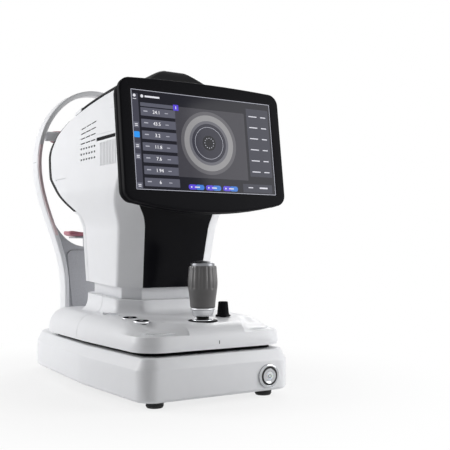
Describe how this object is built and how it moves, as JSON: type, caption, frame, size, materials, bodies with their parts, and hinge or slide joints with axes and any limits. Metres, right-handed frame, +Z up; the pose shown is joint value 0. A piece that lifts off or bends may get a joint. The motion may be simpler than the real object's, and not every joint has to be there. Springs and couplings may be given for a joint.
{
  "type": "ophthalmic measuring instrument",
  "caption": "Table-top eye measuring instrument: rounded measuring head on a lifting column over a joystick cross-slide stage, with a tilting monitor and a headrest ring with a chinrest.",
  "frame": {"origin": "on the table, under the middle of the bounding box", "axes": "+Z up, -Y towards the operator and the monitor, +Y towards the patient and the headrest, +X to the operator's right"},
  "size_m": [0.254, 0.479, 0.4797],
  "materials": {
    "white_moulding": "white moulded plastic with a soft sheen",
    "power_cap": "pale translucent push cap",
    "dark_grey_moulding": "dark grey moulded plastic, fine grain",
    "black_gloss": "black moulded plastic, glossy",
    "black_satin": "black moulded plastic, satin",
    "charcoal_grip": "charcoal soft-touch grip",
    "rose_silicone": "rose silicone, matte",
    "foot_rubber": "black rubber",
    "ground_steel": "ground steel",
    "satin_silver": "satin anodised aluminium",
    "bright_chrome": "polished chrome",
    "cast_aluminium": "cast aluminium",
    "lens_glass": "coated lens glass",
    "screen_glass": "dark display glass"
  },
  "bodies": {
    "base": {"base_shell": "white_moulding", "base_plate": "ground_steel", "power_supply": "ground_steel", "foot_front_left": "foot_rubber", "foot_front_right": "foot_rubber", "foot_rear_left": "foot_rubber", "foot_rear_right": "foot_rubber", "slide_deck": "black_satin", "rack_left": "ground_steel", "rack_right": "ground_steel", "power_ring": "bright_chrome", "mains_inlet": "black_satin", "headrest_frame": "white_moulding", "headrest_trim_left": "rose_silicone", "headrest_trim_right": "rose_silicone", "leg_panel": "dark_grey_moulding", "chin_drive_cover": "dark_grey_moulding", "forehead_bar": "white_moulding", "forehead_pad": "rose_silicone", "chin_rail": "ground_steel"},
    "power_cap": {"power_button": "power_cap"},
    "carriage": {"carriage_frame": "cast_aluminium"},
    "axle": {"cross_axle": "ground_steel", "pinion_left": "ground_steel", "pinion_right": "ground_steel"},
    "stage": {"stage_plate": "cast_aluminium", "cross_rod_front": "ground_steel", "cross_rod_rear": "ground_steel", "stage_cover_front": "white_moulding", "stage_cover_rear": "white_moulding", "column_sleeve": "white_moulding", "lift_frame": "ground_steel", "lift_motor": "black_satin", "joystick_collar": "black_gloss"},
    "screw": {"lift_screw": "ground_steel"},
    "lock": {"lock_knob": "black_satin"},
    "chin_down_key": {"chin_button_down": "black_satin"},
    "chin_up_key": {"chin_button_up": "black_satin"},
    "gimbal": {"joystick_gimbal": "black_satin"},
    "stick": {"joystick_shaft": "black_gloss", "joystick_ferrule": "satin_silver"},
    "grip": {"joystick_grip": "charcoal_grip"},
    "trigger": {"joystick_button": "satin_silver"},
    "head": {"head_chassis": "cast_aluminium", "head_shell_left": "white_moulding", "head_shell_right": "white_moulding", "head_front_panel": "black_gloss", "head_top_cover": "black_gloss", "patient_panel": "black_gloss", "column_rear_cover": "white_moulding", "optical_tube": "black_satin", "window_ring": "black_gloss", "objective_lens": "lens_glass", "monitor_arm": "black_satin"},
    "monitor": {"monitor_bezel": "black_gloss", "screen_panel": "screen_glass", "monitor_back": "black_gloss", "monitor_knuckle": "black_satin"},
    "chinrest": {"chin_slider": "dark_grey_moulding", "chin_pad": "rose_silicone"}
  },
  "joints": [
    {"name": "power_press", "type": "slide", "parent": "base", "child": "power_cap", "axis": [0, 1, 0], "range_m": [0, 0.002], "stiffness_N_per_m": 600, "springref_m": -0.001},
    {"name": "carriage_travel", "type": "slide", "parent": "base", "child": "carriage", "axis": [0, 1, 0], "range_m": [-0.02, 0.02]},
    {"name": "axle_roll", "type": "hinge", "parent": "carriage", "child": "axle", "pos_m": [0, -0.0305, 0.0818], "axis": [1, 0, 0], "range_deg": [-162, 162]},
    {"name": "stage_travel", "type": "slide", "parent": "carriage", "child": "stage", "axis": [1, 0, 0], "range_m": [-0.04, 0.04]},
    {"name": "head_lift", "type": "slide", "parent": "stage", "child": "head", "axis": [0, 0, 1], "range_m": [0, 0.032]},
    {"name": "screw_turn", "type": "hinge", "parent": "stage", "child": "screw", "pos_m": [0, 0.0045, 0.1333], "axis": [0, 0, 1], "range_deg": [-4, 724]},
    {"name": "joystick_pitch", "type": "hinge", "parent": "stage", "child": "gimbal", "pos_m": [0, -0.1855, 0.09925], "axis": [1, 0, 0], "range_deg": [-8, 8]},
    {"name": "joystick_roll", "type": "hinge", "parent": "gimbal", "child": "stick", "pos_m": [0, -0.1855, 0.09925], "axis": [0, 1, 0], "range_deg": [-8, 8]},
    {"name": "joystick_twist", "type": "hinge", "parent": "stick", "child": "grip", "pos_m": [0, -0.1855, 0.09925], "axis": [0, 0, 1], "range_deg": [-4, 724]},
    {"name": "joystick_press", "type": "slide", "parent": "grip", "child": "trigger", "axis": [0, 0, -1], "range_m": [0, 0.002], "stiffness_N_per_m": 500, "springref_m": -0.001},
    {"name": "lock_turn", "type": "hinge", "parent": "stage", "child": "lock", "pos_m": [0.05, -0.1595, 0.10844], "axis": [0, 0, 1], "range_deg": [0, 90]},
    {"name": "chin_down_press", "type": "slide", "parent": "stage", "child": "chin_down_key", "axis": [0, 0, -1], "range_m": [0, 0.0012], "stiffness_N_per_m": 600, "springref_m": -0.001},
    {"name": "chin_up_press", "type": "slide", "parent": "stage", "child": "chin_up_key", "axis": [0, 0, -1], "range_m": [0, 0.0012], "stiffness_N_per_m": 600, "springref_m": -0.001},
    {"name": "monitor_tilt", "type": "hinge", "parent": "head", "child": "monitor", "pos_m": [0, -0.14966, 0.33276], "axis": [1, 0, 0], "range_deg": [-15, 7.5]},
    {"name": "chinrest_lift", "type": "slide", "parent": "base", "child": "chinrest", "axis": [0, 0, 1], "range_m": [-0.03, 0.03]}
  ],
  "couplings": [
    {"joint": "axle_roll", "follows": "carriage_travel", "rad_per_m": -138.89},
    {"joint": "screw_turn", "follows": "head_lift", "rad_per_m": 392.7},
    {"joint": "joystick_twist", "follows": "head_lift", "rad_per_m": 392.7}
  ]
}
